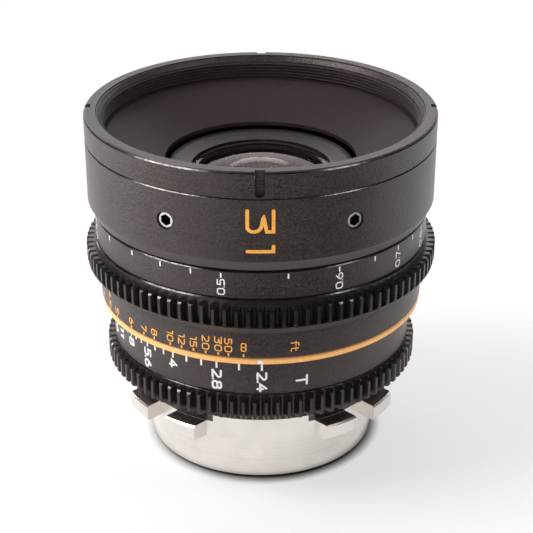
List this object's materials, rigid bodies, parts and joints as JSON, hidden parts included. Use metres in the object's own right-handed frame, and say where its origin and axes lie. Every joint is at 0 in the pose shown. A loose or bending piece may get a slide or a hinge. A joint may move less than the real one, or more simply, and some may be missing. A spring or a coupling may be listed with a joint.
{
  "type": "cinema prime lens",
  "caption": "Cinema prime lens with geared focus and iris rings, helicoid focusing lens block, bladed iris, bayonet mount with four flange ears and a threaded front ring.",
  "frame": {"origin": "centre of the register tube at the plane of the flange seat", "axes": "+Z along the optical axis towards the front glass, -Y towards the index marks"},
  "size_m": [0.0816, 0.0816, 0.0824],
  "materials": {
    "anodised": "matte dark grey anodised",
    "gear_black": "satin black anodised",
    "inner_black": "flat black anodised",
    "orange_anodised": "satin orange anodised",
    "steel": "bright turned stainless",
    "black_steel": "black oxide",
    "blade_steel": "matte blackened",
    "brass": "lapped and greased",
    "coated_glass": "polished with an antireflection coating"
  },
  "bodies": {
    "housing": {"front_ring": "anodised", "front_barrel": "anodised", "lock_screws": "steel", "front_baffle": "inner_black", "barrel_support": "inner_black", "support_screws": "black_steel", "guide_tube": "inner_black", "index_ring": "orange_anodised", "focus_stop": "steel", "iris_retainer": "inner_black", "pl_mount": "steel", "flange_shim": "brass", "mount_screws": "steel", "rear_baffle": "inner_black"},
    "focus_group": {"focus_ring": "anodised", "focus_gear": "gear_black", "focus_helicoid": "brass", "helicoid_screws": "black_steel"},
    "lens_block": {"helicoid_ring": "brass", "guide_keys": "steel", "lens_barrel": "inner_black", "front_cell": "inner_black", "front_retainer": "anodised", "front_element": "coated_glass", "front_spacer": "inner_black", "second_element": "coated_glass", "third_element": "coated_glass", "third_retainer": "inner_black", "iris_housing": "inner_black", "iris_cover": "inner_black", "rear_cell": "inner_black", "fourth_element": "coated_glass", "fifth_element": "coated_glass", "doublet_retainer": "inner_black", "rear_element": "coated_glass", "rear_retainer": "inner_black"},
    "iris_group": {"iris_ring": "anodised", "iris_gear": "gear_black"},
    "actuator_group": {"iris_actuator": "brass", "actuator_pin": "steel"},
    "blade_1": {"iris_blade_1": "blade_steel"},
    "blade_2": {"iris_blade_2": "blade_steel"},
    "blade_3": {"iris_blade_3": "blade_steel"},
    "blade_4": {"iris_blade_4": "blade_steel"},
    "blade_5": {"iris_blade_5": "blade_steel"},
    "blade_6": {"iris_blade_6": "blade_steel"},
    "blade_7": {"iris_blade_7": "blade_steel"},
    "blade_8": {"iris_blade_8": "blade_steel"},
    "blade_9": {"iris_blade_9": "blade_steel"},
    "blade_10": {"iris_blade_10": "blade_steel"}
  },
  "joints": [
    {"name": "focus_turn", "type": "hinge", "parent": "housing", "child": "focus_group", "pos_m": [0, 0, 0.036], "axis": [0, 0, 1], "range_deg": [0, 276]},
    {"name": "block_slide", "type": "slide", "parent": "housing", "child": "lens_block", "axis": [0, 0, 1], "range_m": [0, 0.00346]},
    {"name": "iris_turn", "type": "hinge", "parent": "housing", "child": "iris_group", "pos_m": [0, 0, 0.016], "axis": [0, 0, 1], "range_deg": [0, 74]},
    {"name": "actuator_turn", "type": "hinge", "parent": "lens_block", "child": "actuator_group", "pos_m": [0, 0, 0.0185], "axis": [0, 0, 1], "range_deg": [0, 74.1]},
    {"name": "blade_1_turn", "type": "hinge", "parent": "lens_block", "child": "blade_1", "pos_m": [0.0155, 0, 0.0235], "axis": [0, 0, 1], "range_deg": [0, 29.7]},
    {"name": "blade_2_turn", "type": "hinge", "parent": "lens_block", "child": "blade_2", "pos_m": [0.01254, 0.00911, 0.0235], "axis": [0, 0, 1], "range_deg": [0, 29.7]},
    {"name": "blade_3_turn", "type": "hinge", "parent": "lens_block", "child": "blade_3", "pos_m": [0.00479, 0.01474, 0.0235], "axis": [0, 0, 1], "range_deg": [0, 29.7]},
    {"name": "blade_4_turn", "type": "hinge", "parent": "lens_block", "child": "blade_4", "pos_m": [-0.00479, 0.01474, 0.0235], "axis": [0, 0, 1], "range_deg": [0, 29.7]},
    {"name": "blade_5_turn", "type": "hinge", "parent": "lens_block", "child": "blade_5", "pos_m": [-0.01254, 0.00911, 0.0235], "axis": [0, 0, 1], "range_deg": [0, 29.7]},
    {"name": "blade_6_turn", "type": "hinge", "parent": "lens_block", "child": "blade_6", "pos_m": [-0.0155, 0, 0.0235], "axis": [0, 0, 1], "range_deg": [0, 29.7]},
    {"name": "blade_7_turn", "type": "hinge", "parent": "lens_block", "child": "blade_7", "pos_m": [-0.01254, -0.00911, 0.0235], "axis": [0, 0, 1], "range_deg": [0, 29.7]},
    {"name": "blade_8_turn", "type": "hinge", "parent": "lens_block", "child": "blade_8", "pos_m": [-0.00479, -0.01474, 0.0235], "axis": [0, 0, 1], "range_deg": [0, 29.7]},
    {"name": "blade_9_turn", "type": "hinge", "parent": "lens_block", "child": "blade_9", "pos_m": [0.00479, -0.01474, 0.0235], "axis": [0, 0, 1], "range_deg": [0, 29.7]},
    {"name": "blade_10_turn", "type": "hinge", "parent": "lens_block", "child": "blade_10", "pos_m": [0.01254, -0.00911, 0.0235], "axis": [0, 0, 1], "range_deg": [0, 29.7]}
  ],
  "couplings": [
    {"joint": "block_slide", "follows": "focus_turn", "m_per_rad": 0.0007162},
    {"joint": "actuator_turn", "follows": "iris_turn", "ratio": 1},
    {"joint": "blade_1_turn", "follows": "iris_turn", "ratio": 0.4},
    {"joint": "blade_2_turn", "follows": "iris_turn", "ratio": 0.4},
    {"joint": "blade_3_turn", "follows": "iris_turn", "ratio": 0.4},
    {"joint": "blade_4_turn", "follows": "iris_turn", "ratio": 0.4},
    {"joint": "blade_5_turn", "follows": "iris_turn", "ratio": 0.4},
    {"joint": "blade_6_turn", "follows": "iris_turn", "ratio": 0.4},
    {"joint": "blade_7_turn", "follows": "iris_turn", "ratio": 0.4},
    {"joint": "blade_8_turn", "follows": "iris_turn", "ratio": 0.4},
    {"joint": "blade_9_turn", "follows": "iris_turn", "ratio": 0.4},
    {"joint": "blade_10_turn", "follows": "iris_turn", "ratio": 0.4}
  ]
}
